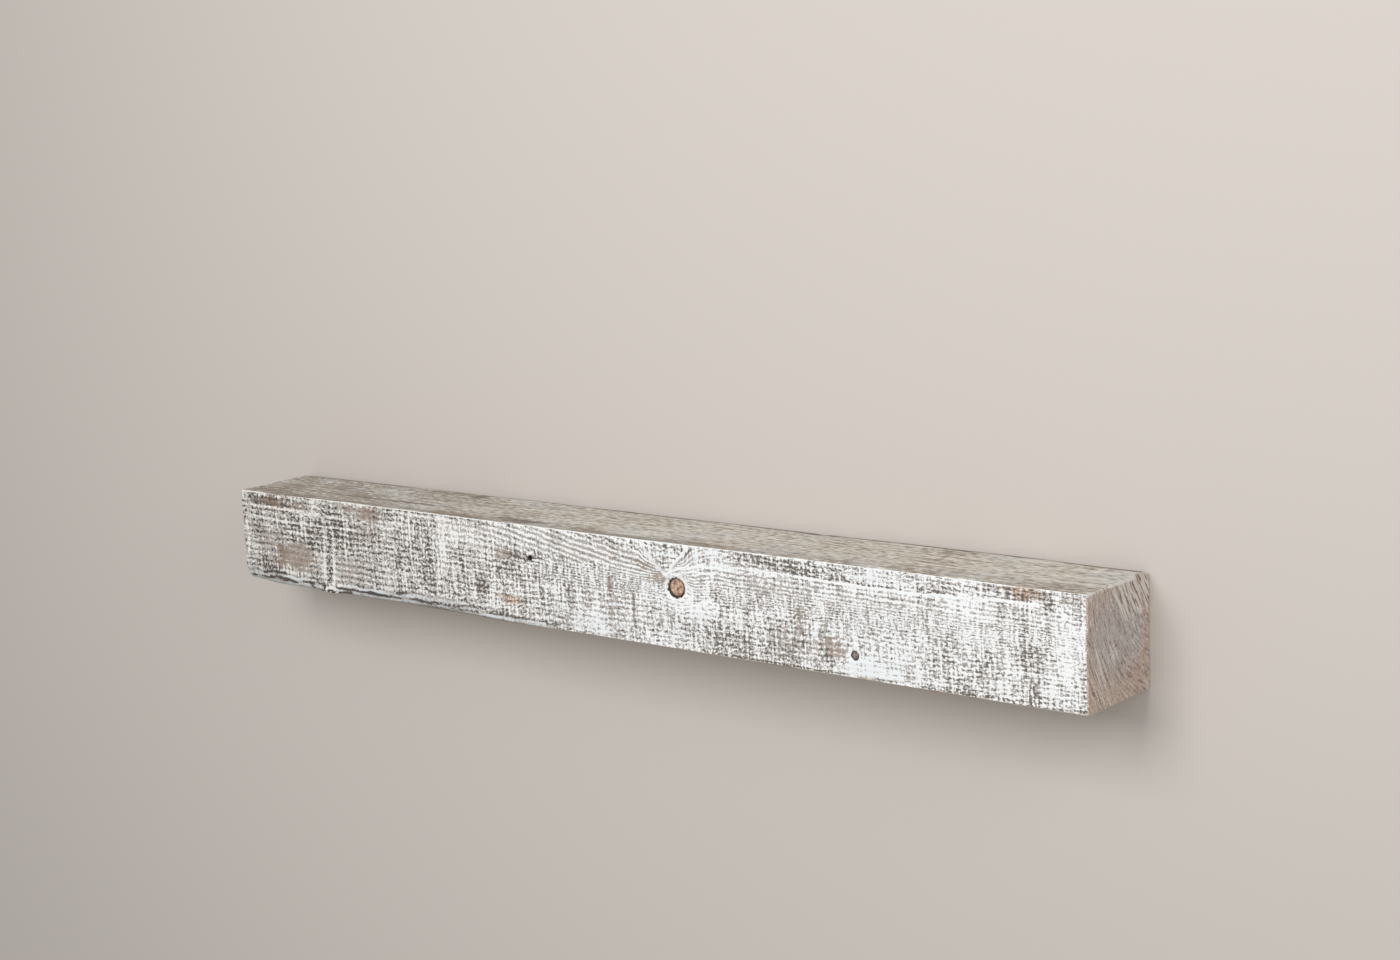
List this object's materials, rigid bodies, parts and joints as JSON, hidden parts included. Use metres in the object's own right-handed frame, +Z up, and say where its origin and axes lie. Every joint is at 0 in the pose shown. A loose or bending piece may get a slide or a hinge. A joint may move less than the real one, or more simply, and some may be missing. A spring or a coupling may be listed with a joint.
{
  "type": "floating wall shelf",
  "caption": "Square sawn-timber beam shelf with a worn white wash and a waney lower edge, carried on the rods of a hidden steel wall plate.",
  "frame": {"origin": "middle of the wall plate's back face, on the wall", "axes": "+X along the beam, to the right as seen from the room; +Y into the wall; +Z up"},
  "size_m": [1.5, 0.2, 0.14],
  "materials": {
    "whitewashed_softwood": "rough-sawn softwood under a worn white wash",
    "plate_steel": "satin black powder coat",
    "bright_steel": "drawn bright bar",
    "zinc_plated_steel": "bright zinc plate",
    "insert_brass": "turned brass",
    "black_oxide_steel": "black oxide"
  },
  "bodies": {
    "bracket": {"wall_plate": "plate_steel", "support_rod_1": "bright_steel", "support_rod_2": "bright_steel", "support_rod_3": "bright_steel", "support_rod_4": "bright_steel", "support_rod_5": "bright_steel", "wall_screw_1": "zinc_plated_steel", "wall_screw_2": "zinc_plated_steel", "wall_screw_3": "zinc_plated_steel", "wall_screw_4": "zinc_plated_steel", "wall_screw_5": "zinc_plated_steel", "wall_screw_6": "zinc_plated_steel", "wall_screw_7": "zinc_plated_steel", "wall_screw_8": "zinc_plated_steel", "screw_washer_1": "zinc_plated_steel", "screw_washer_2": "zinc_plated_steel", "screw_washer_3": "zinc_plated_steel", "screw_washer_4": "zinc_plated_steel", "screw_washer_5": "zinc_plated_steel", "screw_washer_6": "zinc_plated_steel", "screw_washer_7": "zinc_plated_steel", "screw_washer_8": "zinc_plated_steel"},
    "beam": {"beam": "whitewashed_softwood", "lock_insert_1": "insert_brass", "lock_insert_2": "insert_brass"},
    "lock_screw_1": {"lock_screw_1": "black_oxide_steel"},
    "lock_screw_2": {"lock_screw_2": "black_oxide_steel"}
  },
  "joints": [
    {"name": "beam_slide", "type": "slide", "parent": "bracket", "child": "beam", "axis": [0, -1, 0], "range_m": [0, 0.12]},
    {"name": "lock_screw_1_travel", "type": "slide", "parent": "beam", "child": "lock_screw_1", "axis": [0, 0, -1], "range_m": [0, 0.008]},
    {"name": "lock_screw_2_travel", "type": "slide", "parent": "beam", "child": "lock_screw_2", "axis": [0, 0, -1], "range_m": [0, 0.008]}
  ]
}
